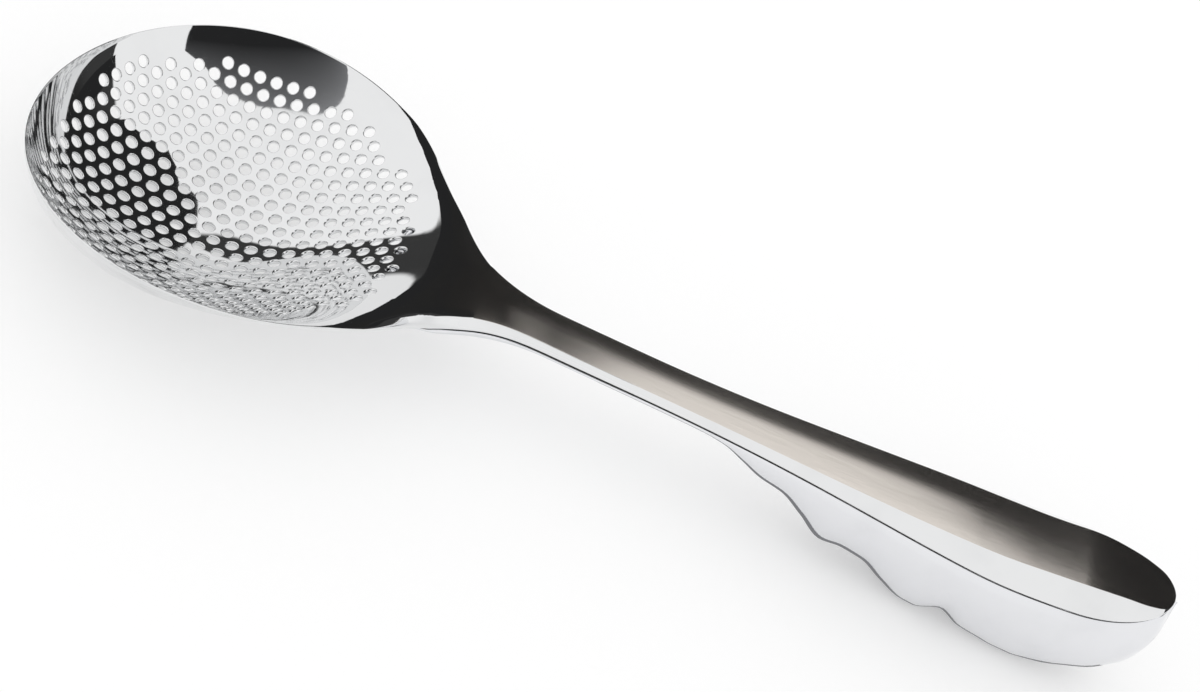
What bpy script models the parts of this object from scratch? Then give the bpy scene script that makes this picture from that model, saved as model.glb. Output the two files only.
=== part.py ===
"""Perforated serving spoon with a hollow handle, pressed from stainless sheet.

Three pieces: the pressing that is bowl, shoulders, neck and top of the handle in one; the pressed
underside of the handle with its finger grooves; and the weld run inside the seam between the two.
Metres, +Z up. +X runs from the bowl to the end of the handle, the table is z = 0, and the origin
is on the table under the middle of the length. The functions below count x from the bowl's tip.
"""
import math

import bmesh
import bpy
from mathutils import Vector
from mathutils.geometry import delaunay_2d_cdt

# Sheet and seam
SHEET = 0.0012
SEAM_GAP = 0.0003
SKIRT = 0.0006

# Whole spoon
LENGTH = 0.2855

# Bowl: plan, rim and hollow
BOWL_WIDTH = 0.101
BOWL_FRONT = 0.048
BOWL_BACK = 0.050
TIP_HEIGHT = 0.0191
RIM_HEIGHT = 0.028
RIM_PEAK_AT = 0.070
RIM_DROP_AT = 0.076
FLOOR_AT = 0.0349
FLOOR_ROUND = 0.618
FLOOR_RAMP = 1.49
POCKET_SIDE_AT = 0.080
POCKET_END_AT = 0.0976
POCKET_TAPER = 0.65
POCKET_FLARE = 0.82
POCKET_SHOULDER_FLARE = 1.43
POCKET_SHOULDER_AT = 0.0286
BOWL_TILT_DEG = 12.5

# Perforations, on the flat blank
HOLE_PITCH = 0.0045
HOLE_DIAMETER = 0.0029
HOLE_SIDES = 5
FIELD_AT = 0.0479
FIELD_FRONT = 0.04495
FIELD_BACK = 0.0474
FIELD_SIDE = 0.0479
FIELD_FRONT_FULLNESS = 2.4
FIELD_BACK_FULLNESS = 2.0

# Neck and handle top
NECK_AT = 0.127
NECK_WIDTH = 0.0132
NECK_FLARE = 0.0122
NECK_FLARE_LENGTH = 0.0285
NECK_FLARE_CURVE = 2.5
NECK_FLARE_SLOPE = 1.9
NECK_FLARE_REACH = 2.0
FILLET = 0.0046
FILLET_AT = 0.070
FILLET_RUN = 0.020
FILLET_FADE = 0.010
NECK_HEIGHT = 0.0208
NECK_CROWN = 0.0032
SHOULDER_CROWN = 0.0016
GRIP_FROM_END = 0.036
GRIP_WIDTH = 0.0304
GRIP_CROWN = 0.0047
GRIP_SWELL = 1.6
SEAM_SLOPE = 0.0434
END_RISE = 0.0058
END_RISE_LENGTH = 0.049
END_LENGTH = 0.024
END_CUT = 0.985
END_OVERHANG = 0.0015

# Underside of the handle: its front sheet under the bowl, and its line of finger grooves
JOIN_FROM_NECK = 0.019
SHELL_FRONT_AT = 0.086
SHELL_FRONT_INSET = 0.002
SHELL_FRONT_DIP = 0.0006
SHELL_FULLNESS = 2.7
NECK_DEPTH_SHARE = 0.10
JOIN_DEPTH_SHARE = 0.18
END_FULLNESS = 5.2
END_BULGE = 0.64
GRIP_LINE_LENGTH = 0.134
# (share of GRIP_LINE_LENGTH from the top's end, depth as a share of the seam's height over the table)
GRIP_LINE = (
    (1.000, 0.100),
    (0.881, 0.100),
    (0.836, 0.140),
    (0.791, 0.268),
    (0.744, 0.394),
    (0.701, 0.437),
    (0.648, 0.611),
    (0.593, 0.795),
    (0.557, 0.749),
    (0.516, 0.762),
    (0.465, 0.891),
    (0.413, 0.990),
    (0.392, 0.990),
    (0.349, 0.849),
    (0.302, 0.955),
    (0.257, 0.985),
    (0.235, 1.000),
    (0.194, 1.000),
)
# (share of the rounded end's length, depth share before the end's own rounding)
END_LINE = (
    (0.00, 0.981),
    (0.22, 0.929),
    (0.42, 0.856),
    (0.62, 0.802),
    (0.74, 0.761),
    (0.84, 0.737),
    (0.91, 0.737),
    (0.96, 0.737),
)

# Weld run inside the seam
WELD_WIDTH = 0.0008
WELD_HEIGHT = 0.0008
WELD_CLEARANCE = 0.0003

# Facets
RIM_FRONT_STEPS = 14
RIM_BACK_STEPS = 14
TOP_COLUMNS = 8
NECK_STEPS = 3
SHELL_COLUMNS = 9
SHELL_FRONT_STEPS = 4
ARC_STEP = 0.0015
PRESS_TURNS = 2
SLOPE_STEP = 0.00005
SLOPE_LIMIT = 1.2
PLAN_SCALE = 1000.0


def smooth(u):
    """Ramp from 0 to 1 with level ends."""
    u = min(max(u, 0.0), 1.0)
    return u * u * (3.0 - 2.0 * u)


def top_end():
    """x of the cut at the end of the handle's top."""
    return LENGTH - END_OVERHANG


def end_start():
    """x where the handle's end begins to round."""
    return top_end() - END_CUT * END_LENGTH


def end_share(x):
    """How far x lies along the rounded end, 0 at its start and END_CUT at the cut."""
    return min(max((x - end_start()) / END_LENGTH, 0.0), END_CUT)


def swell(x):
    """How far the handle has widened from neck to grip."""
    run = top_end() - GRIP_FROM_END - NECK_AT
    return smooth(min(max((x - NECK_AT) / run, 0.0), 1.0) ** GRIP_SWELL)


def full_half_width(x):
    """Half the plan width at x before the handle's end is rounded."""
    if x <= BOWL_FRONT:
        u = max(0.0, 1.0 - ((BOWL_FRONT - x) / BOWL_FRONT) ** 2)
        return 0.5 * BOWL_WIDTH * math.sqrt(u)
    u = max(0.0, 1.0 - ((x - BOWL_FRONT) / BOWL_BACK) ** 2)
    bowl = 0.5 * BOWL_WIDTH * math.sqrt(u)
    flare = min(max(NECK_AT - x, 0.0) / NECK_FLARE_LENGTH, NECK_FLARE_REACH)
    flare = flare ** NECK_FLARE_CURVE if flare < 1.0 else 1.0 + NECK_FLARE_SLOPE * (flare - 1.0)
    neck = 0.5 * NECK_WIDTH + NECK_FLARE * flare
    neck += 0.5 * (GRIP_WIDTH - NECK_WIDTH) * swell(x)
    blend = FILLET * smooth((x - FILLET_AT) / FILLET_RUN)
    blend *= 1.0 - smooth((x - BOWL_FRONT - BOWL_BACK) / FILLET_FADE)
    return 0.5 * (bowl + neck + math.sqrt((bowl - neck) ** 2 + blend * blend))


def half_width(x):
    """Half the plan width at x."""
    return full_half_width(x) * math.sqrt(1.0 - end_share(x) ** 2)


def edge_height(x):
    """Height of the rim, and of the handle's shoulder line behind it."""
    lift = 1.0 - (1.0 - min(x, RIM_PEAK_AT) / RIM_PEAK_AT) ** 2
    rim = TIP_HEIGHT + (RIM_HEIGHT - TIP_HEIGHT) * lift
    join = NECK_AT - JOIN_FROM_NECK
    drop = smooth((x - RIM_DROP_AT) / (join - RIM_DROP_AT))
    seam = NECK_HEIGHT + SEAM_SLOPE * max(x - NECK_AT, 0.0)
    late = max(x - top_end() + END_RISE_LENGTH, 0.0) / END_RISE_LENGTH
    return rim + (seam - rim) * drop + END_RISE * late * late


def crown(x):
    """How far the middle of the section stands over its edges."""
    rise = smooth((x - POCKET_SIDE_AT) / (POCKET_END_AT - POCKET_SIDE_AT))
    flare = max(NECK_AT - x, 0.0) / NECK_FLARE_LENGTH
    top = NECK_CROWN + (GRIP_CROWN - NECK_CROWN) * swell(x) + SHOULDER_CROWN * flare * flare
    return rise * top * math.sqrt(1.0 - end_share(x) ** 2)


def floor_height(x):
    """Height of the bowl's inside along its middle line."""
    if x <= FLOOR_AT:
        u = (FLOOR_AT - x) / FLOOR_AT
        return SHEET + (TIP_HEIGHT - SHEET) * (FLOOR_ROUND * u ** 2 + (1.0 - FLOOR_ROUND) * u ** 6)
    u = min((x - FLOOR_AT) / (POCKET_END_AT - FLOOR_AT), 1.0)
    crest = edge_height(POCKET_END_AT) + crown(POCKET_END_AT)
    return SHEET + (crest - SHEET) * smooth(u ** FLOOR_RAMP)


def pocket_half_width(x):
    """Half the plan width of the hollow at x."""
    if x >= POCKET_END_AT:
        return 0.0
    if x <= POCKET_SIDE_AT:
        return half_width(x)
    u = (x - POCKET_SIDE_AT) / (POCKET_END_AT - POCKET_SIDE_AT)
    return min(half_width(x), half_width(POCKET_SIDE_AT) * (1.0 - u) ** POCKET_TAPER)


def top_height(x, y):
    """Height of the top face of the upper pressing."""
    w = max(half_width(x), SLOPE_STEP)
    s = min(abs(y) / w, 1.0)
    rise = crown(x)
    z = edge_height(x) + rise * math.sqrt(1.0 - s * s)
    pocket = pocket_half_width(x)
    if abs(y) < pocket:
        depth = edge_height(x) + rise - floor_height(x)
        late = smooth((x - POCKET_SHOULDER_AT) / (POCKET_END_AT - POCKET_SHOULDER_AT))
        flare = POCKET_FLARE + (POCKET_SHOULDER_FLARE - POCKET_FLARE) * late
        z -= depth * (1.0 - (y / pocket) ** 2) ** flare
    return z


def top_slopes(x, y):
    """Slopes of the top face along x and y, held to SLOPE_LIMIT at the edges."""
    inner = max(half_width(x) - SLOPE_STEP, 0.0)
    y = min(max(y, -inner), inner)
    ahead = max(x, 2.0 * SLOPE_STEP)
    dx = (top_height(ahead + SLOPE_STEP, y) - top_height(ahead - SLOPE_STEP, y)) / (2.0 * SLOPE_STEP)
    dy = (top_height(x, y + SLOPE_STEP) - top_height(x, y - SLOPE_STEP)) / (2.0 * SLOPE_STEP)
    steep = max(abs(dx), abs(dy), SLOPE_LIMIT) / SLOPE_LIMIT
    return dx / steep, dy / steep


def under_point(x, y):
    """Point of the upper pressing's lower face, one sheet below (x, y) along the normal."""
    dx, dy = top_slopes(x, y)
    n = Vector((-dx, -dy, 1.0)).normalized()
    return Vector((x, y, top_height(x, y))) - SHEET * n


def press(bx, by, margin):
    """Plan point of a blank point (bx, by) counted from the field's middle; None past the edge.

    The blank is pressed along the bowl's own axis, which leans back from the vertical by its tilt.
    """
    reach = math.hypot(bx, by)
    here = Vector((FIELD_AT, 0.0, top_height(FIELD_AT, 0.0)))
    if reach == 0.0:
        return here.x, here.y
    tilt = math.radians(BOWL_TILT_DEG)
    axis = Vector((-math.sin(tilt), 0.0, math.cos(tilt)))
    along = Vector((math.cos(tilt), 0.0, math.sin(tilt))) * (bx / reach) + Vector((0.0, by / reach, 0.0))
    start = here.copy()
    run, arc, lift = 0.0, 0.0, 0.0
    while True:
        run += min(ARC_STEP, reach - arc)
        flat = start + along * run
        for _ in range(PRESS_TURNS):
            spot = flat + axis * lift
            lift += (top_height(spot.x, spot.y) - spot.z) / axis.z
        spot = flat + axis * lift
        far = NECK_AT - JOIN_FROM_NECK - margin
        if not margin < spot.x < far or abs(spot.y) >= half_width(spot.x) - margin:
            return None
        span = (spot - here).length
        if arc + span >= reach - SLOPE_STEP:
            spot = here.lerp(spot, (reach - arc) / span)
            return spot.x, spot.y
        arc += span
        here = spot


def in_field(bx, by):
    """Whether the blank point (bx, by) carries a hole."""
    if bx < 0.0:
        along, power = -bx / FIELD_FRONT, FIELD_FRONT_FULLNESS
    else:
        along, power = bx / FIELD_BACK, FIELD_BACK_FULLNESS
    return along ** power + abs(by / FIELD_SIDE) ** power <= 1.0


def lattice():
    """Blank points of the staggered hole pattern, over more than the bowl."""
    row_gap = HOLE_PITCH * math.sqrt(3.0) / 2.0
    rows = int(BOWL_WIDTH / row_gap)
    columns = int(BOWL_WIDTH / HOLE_PITCH)
    for row in range(-rows, rows + 1):
        shift = 0.5 * HOLE_PITCH * (row % 2)
        for column in range(-columns, columns + 1):
            yield column * HOLE_PITCH + shift, row * row_gap


def hole_corners(bx, by):
    """Pressed plan corners of the hole at (bx, by), its area that of the round hole."""
    turn = 2.0 * math.pi / HOLE_SIDES
    radius = 0.5 * HOLE_DIAMETER * math.sqrt(turn / math.sin(turn))
    return [press(bx + radius * math.cos(i * turn), by + radius * math.sin(i * turn), SHEET)
            for i in range(HOLE_SIDES)]


def rim_stations():
    """x of the rim points from the tip to the join with the handle."""
    join = NECK_AT - JOIN_FROM_NECK
    xs = [BOWL_FRONT * (1.0 - math.cos(0.5 * math.pi * i / RIM_FRONT_STEPS)) for i in range(RIM_FRONT_STEPS)]
    return xs + [BOWL_FRONT + (join - BOWL_FRONT) * i / RIM_BACK_STEPS for i in range(RIM_BACK_STEPS + 1)]


def column_angles(count):
    """Angles across a section from its +Y edge to its -Y edge."""
    return [math.pi * (0.5 - j / count) for j in range(count + 1)]


def end_stations():
    """x of the sections of the rounded end."""
    return [end_start() + END_LENGTH * share for share, _ in END_LINE] + [top_end()]


def grip_stations():
    """x of the sections that carry the grip line."""
    return [top_end() - GRIP_LINE_LENGTH * share for share, _ in GRIP_LINE]


def handle_stations():
    """x of the handle's sections from the join to the cut at the end."""
    join = NECK_AT - JOIN_FROM_NECK
    first = grip_stations()[0]
    xs = [join + (first - join) * i / NECK_STEPS for i in range(NECK_STEPS)]
    return xs + grip_stations() + end_stations()


def inner_x(x):
    """x of the inside point that belongs to the outside point at x, one sheet short at the end."""
    start = end_start()
    return x if x <= start else start + (x - start) * (END_LENGTH - SHEET) / END_LENGTH


def inner_half_width(x):
    """Half the width inside the handle's sheet, for the section whose outside is at x."""
    return (full_half_width(x) - SHEET) * math.sqrt(1.0 - end_share(x) ** 2)


def depth_share(x):
    """Depth of the underside at x as a share of the seam's height."""
    join = NECK_AT - JOIN_FROM_NECK
    end = end_start()
    knots = [(join, JOIN_DEPTH_SHARE), (NECK_AT, NECK_DEPTH_SHARE)]
    knots += [(station, share) for station, (_, share) in zip(grip_stations(), GRIP_LINE)]
    knots += [(end + END_LENGTH * u, share) for u, share in END_LINE]
    for (x0, s0), (x1, s1) in zip(knots, knots[1:]):
        if x < x1:
            return s0 + (s1 - s0) * max(x - x0, 0.0) / (x1 - x0)
    return knots[-1][1]


def seam_base(x, y):
    """Height of the underside's upper edge, clear of the pressing over it."""
    top = edge_height(x) - SKIRT
    if x < NECK_AT - JOIN_FROM_NECK:
        dx, dy = top_slopes(x, y)
        top = min(top, top_height(x, y) - SHEET * math.sqrt(1.0 + dx * dx + dy * dy))
    return top - SEAM_GAP


def shell_inset(x):
    """How far the underside's edge is tucked in under the bowl's shoulder at x."""
    join = NECK_AT - JOIN_FROM_NECK
    return SHELL_FRONT_INSET * (1.0 - smooth((x - SHELL_FRONT_AT) / (join - SHELL_FRONT_AT)))


def shell_depth(x):
    """Depth of the underside below its edge at x."""
    join = NECK_AT - JOIN_FROM_NECK
    if x < join:
        front = SHEET + SHELL_FRONT_DIP
        back = depth_share(join) * seam_base(join, 0.0)
        return front + (back - front) * smooth((x - SHELL_FRONT_AT) / (join - SHELL_FRONT_AT))
    cap = (1.0 - end_share(x) ** END_FULLNESS) ** (1.0 / END_FULLNESS)
    return depth_share(x) * seam_base(x, 0.0) * cap


def make_piece(name, points, faces, colour, roughness):
    """Object of one closed body from points counted from the tip."""
    mesh = bpy.data.meshes.new(name)
    shift = Vector((0.5 * LENGTH, 0.0, 0.0))
    mesh.from_pydata([Vector(p) - shift for p in points], [], faces)
    bm = bmesh.new()
    bm.from_mesh(mesh)
    bmesh.ops.triangulate(bm, faces=bm.faces[:])
    bmesh.ops.recalc_face_normals(bm, faces=bm.faces[:])
    if bm.calc_volume(signed=True) < 0.0:
        bmesh.ops.reverse_faces(bm, faces=bm.faces[:])
    bm.to_mesh(mesh)
    bm.free()
    material = bpy.data.materials.new(name)
    material.use_nodes = True
    shader = material.node_tree.nodes["Principled BSDF"]
    shader.inputs["Base Color"].default_value = colour
    shader.inputs["Metallic"].default_value = 1.0
    shader.inputs["Roughness"].default_value = roughness
    mesh.materials.append(material)
    piece = bpy.data.objects.new(name, mesh)
    bpy.context.scene.collection.objects.link(piece)
    return piece


def bowl_layout():
    """Plan points of the bowl: outline loop first, then holes and plain points; also the holes."""
    join = NECK_AT - JOIN_FROM_NECK
    xs = rim_stations()
    angles = column_angles(TOP_COLUMNS)
    loop = [(x, half_width(x)) for x in xs[:-1]]
    loop += [(join, half_width(join) * math.sin(a)) for a in angles]
    loop += [(x, -half_width(x)) for x in reversed(xs[1:-1])]
    plan, holes = list(loop), []
    for bx, by in lattice():
        if in_field(bx, by):
            corners = hole_corners(bx, by)
            if None not in corners:
                holes.append([len(plan) + i for i in range(HOLE_SIDES)])
                plan += corners
                continue
        spot = press(bx, by, 0.5 * HOLE_PITCH)
        if spot is not None:
            plan.append(spot)
    return plan, len(loop), holes


def bowl_triangles(plan, outline, holes):
    """Triangles of the bowl's sheet between its outline and its holes."""
    edges = [(i, (i + 1) % outline) for i in range(outline)]
    owner = {}
    for number, hole in enumerate(holes):
        for i, corner in enumerate(hole):
            edges.append((corner, hole[(i + 1) % len(hole)]))
            owner[corner] = number
    flat = [Vector((PLAN_SCALE * x, PLAN_SCALE * y)) for x, y in plan]
    _, _, faces, source, _, _ = delaunay_2d_cdt(flat, edges, [], 0, 0.0001)
    limits = plan[:outline]
    kept = []
    for face in faces:
        ids = [source[v][0] for v in face]
        owners = {owner.get(v, -1 - v) for v in ids}
        cx = sum(plan[v][0] for v in ids) / 3.0
        cy = sum(plan[v][1] for v in ids) / 3.0
        if len(owners) > 1 and inside(cx, cy, limits):
            kept.append(ids)
    return kept


def inside(x, y, loop):
    """Whether the plan point lies in the closed loop."""
    result = False
    for (x0, y0), (x1, y1) in zip(loop, loop[1:] + loop[:1]):
        if (y0 > y) != (y1 > y) and x < x0 + (y - y0) * (x1 - x0) / (y1 - y0):
            result = not result
    return result


def build_top():
    """Bowl, shoulders, neck and top of the handle: one perforated pressing."""
    plan, outline, holes = bowl_layout()
    first = len(rim_stations()) - 1
    angles = column_angles(TOP_COLUMNS)
    join_row = [first + j for j in range(TOP_COLUMNS + 1)]
    upper = [Vector((x, y, top_height(x, y))) for x, y in plan]
    lower = [under_point(x, y) for x, y in plan]
    for i in range(outline):
        lower[i] = upper[i] - Vector((0.0, 0.0, SKIRT))
    xs = handle_stations()
    for j in range(1, TOP_COLUMNS):
        lower[join_row[j]] = top_inside(xs[0], angles[j])
    points = upper + lower
    below = len(plan)
    faces = []
    for ids in bowl_triangles(plan, outline, holes):
        faces.append(ids)
        faces.append([v + below for v in reversed(ids)])
    rim = [(i, (i + 1) % outline) for i in range(outline) if not first <= i < first + TOP_COLUMNS]
    for hole in holes:
        rim += [(a, b) for a, b in zip(hole, hole[1:] + hole[:1])]
    faces += [(a, b, b + below, a + below) for a, b in rim]
    outer_row = join_row
    inner_row = [v + below for v in join_row]
    lips = None
    for x in xs[1:]:
        new_outer, new_inner = [], []
        for j, angle in enumerate(angles):
            new_outer.append(len(points))
            y = half_width(x) * math.sin(angle)
            points.append(Vector((x, y, edge_height(x) + crown(x) * math.cos(angle))))
        for j, angle in enumerate(angles):
            new_inner.append(len(points))
            if 0 < j < TOP_COLUMNS:
                points.append(top_inside(x, angle))
            else:
                points.append(points[new_outer[j]] - Vector((0.0, 0.0, SKIRT)))
        new_lips = [len(points), len(points) + 1]
        for side in (1.0, -1.0):
            inner = inner_x(x)
            points.append(Vector((inner, side * inner_half_width(x), edge_height(inner) - SKIRT)))
        for j in range(TOP_COLUMNS):
            faces.append((outer_row[j], outer_row[j + 1], new_outer[j + 1], new_outer[j]))
        for j in range(1, TOP_COLUMNS - 1):
            faces.append((inner_row[j], inner_row[j + 1], new_inner[j + 1], new_inner[j]))
        for j, k, lip in ((0, 1, 0), (TOP_COLUMNS, TOP_COLUMNS - 1, 1)):
            faces.append((outer_row[j], new_outer[j], new_inner[j], inner_row[j]))
            if lips is None:
                faces.append((inner_row[j], new_inner[j], new_lips[lip]))
                faces.append((inner_row[j], new_lips[lip], new_inner[k], inner_row[k]))
            else:
                faces.append((inner_row[j], new_inner[j], new_lips[lip], lips[lip]))
                faces.append((lips[lip], new_lips[lip], new_inner[k], inner_row[k]))
        outer_row, inner_row, lips = new_outer, new_inner, new_lips
    faces.append(outer_row + [inner_row[-1], inner_row[0]])
    faces.append([lips[0]] + inner_row[1:-1] + [lips[1]])
    faces.append([inner_row[0], inner_row[-1], lips[1], lips[0]])
    return make_piece("bowl_and_handle_top", points, faces, (0.62, 0.61, 0.59, 1.0), 0.12)


def top_inside(x, angle):
    """Point inside the handle's vault for the section at x."""
    inner = inner_x(x)
    y = inner_half_width(x) * math.sin(angle)
    rise = crown(x) - SHEET * math.sqrt(1.0 - end_share(x) ** 2)
    return Vector((inner, y, edge_height(inner) + rise * math.cos(angle)))


def shell_section(x, angle):
    """Outside and inside point of the underside for one section and one angle."""
    squareness = 2.0 / SHELL_FULLNESS
    middle = math.cos(0.5 * math.pi / SHELL_COLUMNS) ** squareness
    across = math.copysign(abs(math.sin(angle)) ** squareness, math.sin(angle))
    sink = max(math.cos(angle), 0.0) ** squareness
    down = sink / middle
    depth = shell_depth(x)
    below = min(2.0 * sink, 1.0)
    fullness = 2.0 + END_BULGE * below
    round_off = (1.0 - end_share(x) ** fullness) ** (1.0 / fullness)
    over = END_OVERHANG * below * (end_share(x) / END_CUT) ** 2
    y = (full_half_width(x) - shell_inset(x)) * across * round_off
    outside = Vector((x + over, y, seam_base(x, y) - depth * down))
    inner = inner_x(x)
    y = (full_half_width(x) - SHEET - shell_inset(x)) * across * round_off
    inside_depth = depth - SHEET * math.sqrt(1.0 - end_share(x) ** 2)
    return outside, Vector((inner + over, y, seam_base(inner, y) - inside_depth * down))


def build_underside():
    """Underside of the handle: a pressed trough with finger grooves and a heel."""
    join = NECK_AT - JOIN_FROM_NECK
    front = [SHELL_FRONT_AT + (join - SHELL_FRONT_AT) * i / SHELL_FRONT_STEPS for i in range(SHELL_FRONT_STEPS)]
    xs = front + handle_stations()
    angles = column_angles(SHELL_COLUMNS)
    points, faces, rows = [], [], []
    for x in xs:
        outside, within = [], []
        for angle in angles:
            a, b = shell_section(x, angle)
            outside.append(len(points))
            within.append(len(points) + 1)
            points += [a, b]
        rows.append((outside, within))
    for (out0, in0), (out1, in1) in zip(rows, rows[1:]):
        for j in range(SHELL_COLUMNS):
            faces.append((out0[j], out1[j], out1[j + 1], out0[j + 1]))
            faces.append((in0[j], in0[j + 1], in1[j + 1], in1[j]))
        for j in (0, SHELL_COLUMNS):
            faces.append((out0[j], in0[j], in1[j], out1[j]))
    out0, in0 = rows[0]
    for j in range(SHELL_COLUMNS):
        faces.append((out0[j], out0[j + 1], in0[j + 1], in0[j]))
    out1, in1 = rows[-1]
    for j in range(SHELL_COLUMNS // 2):
        k = SHELL_COLUMNS - j
        faces.append((out1[j], out1[j + 1], out1[k - 1], out1[k]))
        faces.append((in1[k], in1[k - 1], in1[j + 1], in1[j]))
    faces.append((out1[0], out1[-1], in1[-1], in1[0]))
    return make_piece("grip_underside", points, faces, (0.66, 0.65, 0.63, 1.0), 0.2)


def build_weld():
    """Weld run along the inside of the seam, up one side, round the end and back."""
    side = [(inner_x(x), inner_half_width(x)) for x in handle_stations()[1:]]
    line = side + [(x, -y) for x, y in reversed(side)]
    points, faces, rows = [], [], []
    for i, (x, y) in enumerate(line):
        before, after = line[max(i - 1, 0)], line[min(i + 1, len(line) - 1)]
        along = Vector((after[0] - before[0], after[1] - before[1])).normalized()
        to_middle = Vector((along.y, -along.x))
        z = edge_height(x) - SKIRT - 0.5 * SEAM_GAP
        row = []
        for offset, lift in ((0.0, -0.5), (0.0, 0.5), (WELD_WIDTH, 0.5), (WELD_WIDTH, -0.5)):
            place = Vector((x, y)) + to_middle * (WELD_CLEARANCE + offset)
            row.append(len(points))
            points.append(Vector((place.x, place.y, z + lift * WELD_HEIGHT)))
        rows.append(row)
    for a, b in zip(rows, rows[1:]):
        for k in range(4):
            faces.append((a[k], a[(k + 1) % 4], b[(k + 1) % 4], b[k]))
    faces.append(list(reversed(rows[0])))
    faces.append(rows[-1])
    return make_piece("seam_weld", points, faces, (0.45, 0.44, 0.43, 1.0), 0.5)


for old in list(bpy.data.objects):
    bpy.data.objects.remove(old, do_unlink=True)
build_top()
build_underside()
build_weld()
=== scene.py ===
import math
from collections import Counter

import bmesh
import bpy
import numpy as np
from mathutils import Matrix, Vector
from mathutils.geometry import delaunay_2d_cdt


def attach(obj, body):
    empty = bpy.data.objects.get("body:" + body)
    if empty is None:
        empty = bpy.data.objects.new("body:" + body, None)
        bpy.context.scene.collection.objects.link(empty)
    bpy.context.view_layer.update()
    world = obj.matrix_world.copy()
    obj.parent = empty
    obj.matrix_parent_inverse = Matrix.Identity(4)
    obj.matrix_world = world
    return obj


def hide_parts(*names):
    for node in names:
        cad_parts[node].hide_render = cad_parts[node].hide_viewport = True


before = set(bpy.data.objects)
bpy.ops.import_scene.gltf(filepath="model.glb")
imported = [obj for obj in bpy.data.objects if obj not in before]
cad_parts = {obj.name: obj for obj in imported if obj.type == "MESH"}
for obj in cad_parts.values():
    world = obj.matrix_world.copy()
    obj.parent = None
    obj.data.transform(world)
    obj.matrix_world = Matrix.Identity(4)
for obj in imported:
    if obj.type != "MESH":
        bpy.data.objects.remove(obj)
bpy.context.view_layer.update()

scene = bpy.context.scene

# Perforated serving spoon with a hollow handle, in polished steel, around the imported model.
# Metres, +Z up, the table is z = 0. The shape functions count x from the bowl's tip, and finished
# pieces are moved back by half the length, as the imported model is.

# Sheet and seam
SHEET = 0.0012
RIM_SHEET = 0.00035
RIM_TAPER = 0.003
SEAM_GAP = 0.0005
SKIRT = 0.0006
EDGE_ROUND = 0.00012

# Whole spoon
LENGTH = 0.2855
END_OVERHANG = 0.0015
TOP_END = LENGTH - END_OVERHANG

# Bowl: plan, rim and hollow
BOWL_WIDTH = 0.101
BOWL_FRONT = 0.048
BOWL_BACK = 0.05
TIP_HEIGHT = 0.0191
RIM_HEIGHT = 0.028
RIM_PEAK_AT = 0.07
RIM_DROP_AT = 0.076
FLOOR_AT = 0.0349
FLOOR_ROUND = 0.618
FLOOR_STEEP = 6
FLOOR_RAMP = 1.49
POCKET_SIDE_AT = 0.08
POCKET_END_AT = 0.0976
POCKET_TAPER = 0.65
POCKET_FLARE = 0.82
POCKET_SHOULDER_FLARE = 1.43
POCKET_SHOULDER_AT = 0.0286
BOWL_TILT = math.radians(12.5)

# Perforations, on the flat blank
HOLE_DIAMETER = 0.0029
HOLE_FACETS = 18
EDGE_SINK = 0.55
SLEEVE_BANDS = 5
HALF_SIDE = math.pi / 6.0
MERGE_GAP = 0.00002
FIELD_AT = 0.0479
FIELD_SIZES = {
    "Pitch": 0.0045, "Hole Diameter": HOLE_DIAMETER, "Edge Roll": 0.00022, "Sheet": SHEET,
    "Field Front": 0.04495, "Field Back": 0.0474, "Field Side": 0.0479,
    "Front Fullness": 2.4, "Back Fullness": 2.0,
}

# Neck and handle top
NECK_AT = 0.127
NECK_WIDTH = 0.0132
NECK_FLARE = 0.0122
NECK_FLARE_LENGTH = 0.0285
NECK_FLARE_CURVE = 2.5
NECK_FLARE_SLOPE = 1.9
NECK_FLARE_REACH = 2.0
FILLET = 0.0046
FILLET_AT = 0.07
FILLET_RUN = 0.02
FILLET_FADE = 0.01
NECK_HEIGHT = 0.0208
NECK_CROWN = 0.002
SHOULDER_CROWN = 0.00267
SHOULDER_REACH = 1.03
GRIP_FROM_END = 0.036
GRIP_WIDTH = 0.0304
GRIP_CROWN = 0.0047
GRIP_SWELL = 1.6
SEAM_SLOPE = 0.0434
BEVEL_FROM = 0.08
BEVEL_RUN = 0.016
# (x, where the brushed panel ends across the half width, height there as a share of the crown)
BEVEL_LINE = (
    (0.08, 0.956, 0.62), (0.084, 0.947, 0.62), (0.088, 0.932, 0.62), (0.092, 0.915, 0.62),
    (0.096, 0.905, 0.64), (0.1, 0.898, 0.65), (0.104, 0.893, 0.68), (0.108, 0.876, 0.72),
    (0.12, 0.89, 0.82), (0.137, 0.905, 0.8), (0.16, 0.88, 0.71), (0.189, 0.83, 0.67),
    (0.215, 0.745, 0.68), (0.24, 0.665, 0.75), (0.255, 0.635, 0.83), (0.27, 0.65, 0.88),
    (0.278, 0.74, 0.9), (0.284, 0.92, 0.95),
)
CREASE = 0.00006
BRUSH_FROM = 0.09
BRUSH_RUN = 0.022
BRUSH_EDGE = 0.003
SEAM_BEND = 0.012
END_RISE = 0.0058
END_FLATNESS = 2.6
END_RISE_LENGTH = 0.049
END_LENGTH = 0.02364
END_AT = TOP_END - END_LENGTH
JOIN_AT = 0.108

# Underside of the handle
SHELL_FRONT_AT = 0.086
SHELL_FRONT_INSET = 0.002
SHELL_BLEND = 0.01
SHELL_FRONT_DIP = 0.0006
SHELL_FULLNESS = 2.7
NECK_DEPTH_SHARE = 0.1
JOIN_DEPTH_SHARE = 0.18
END_FULLNESS = 5.2
END_BULGE = 0.64
GRIP_LINE_LENGTH = 0.134
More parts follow.
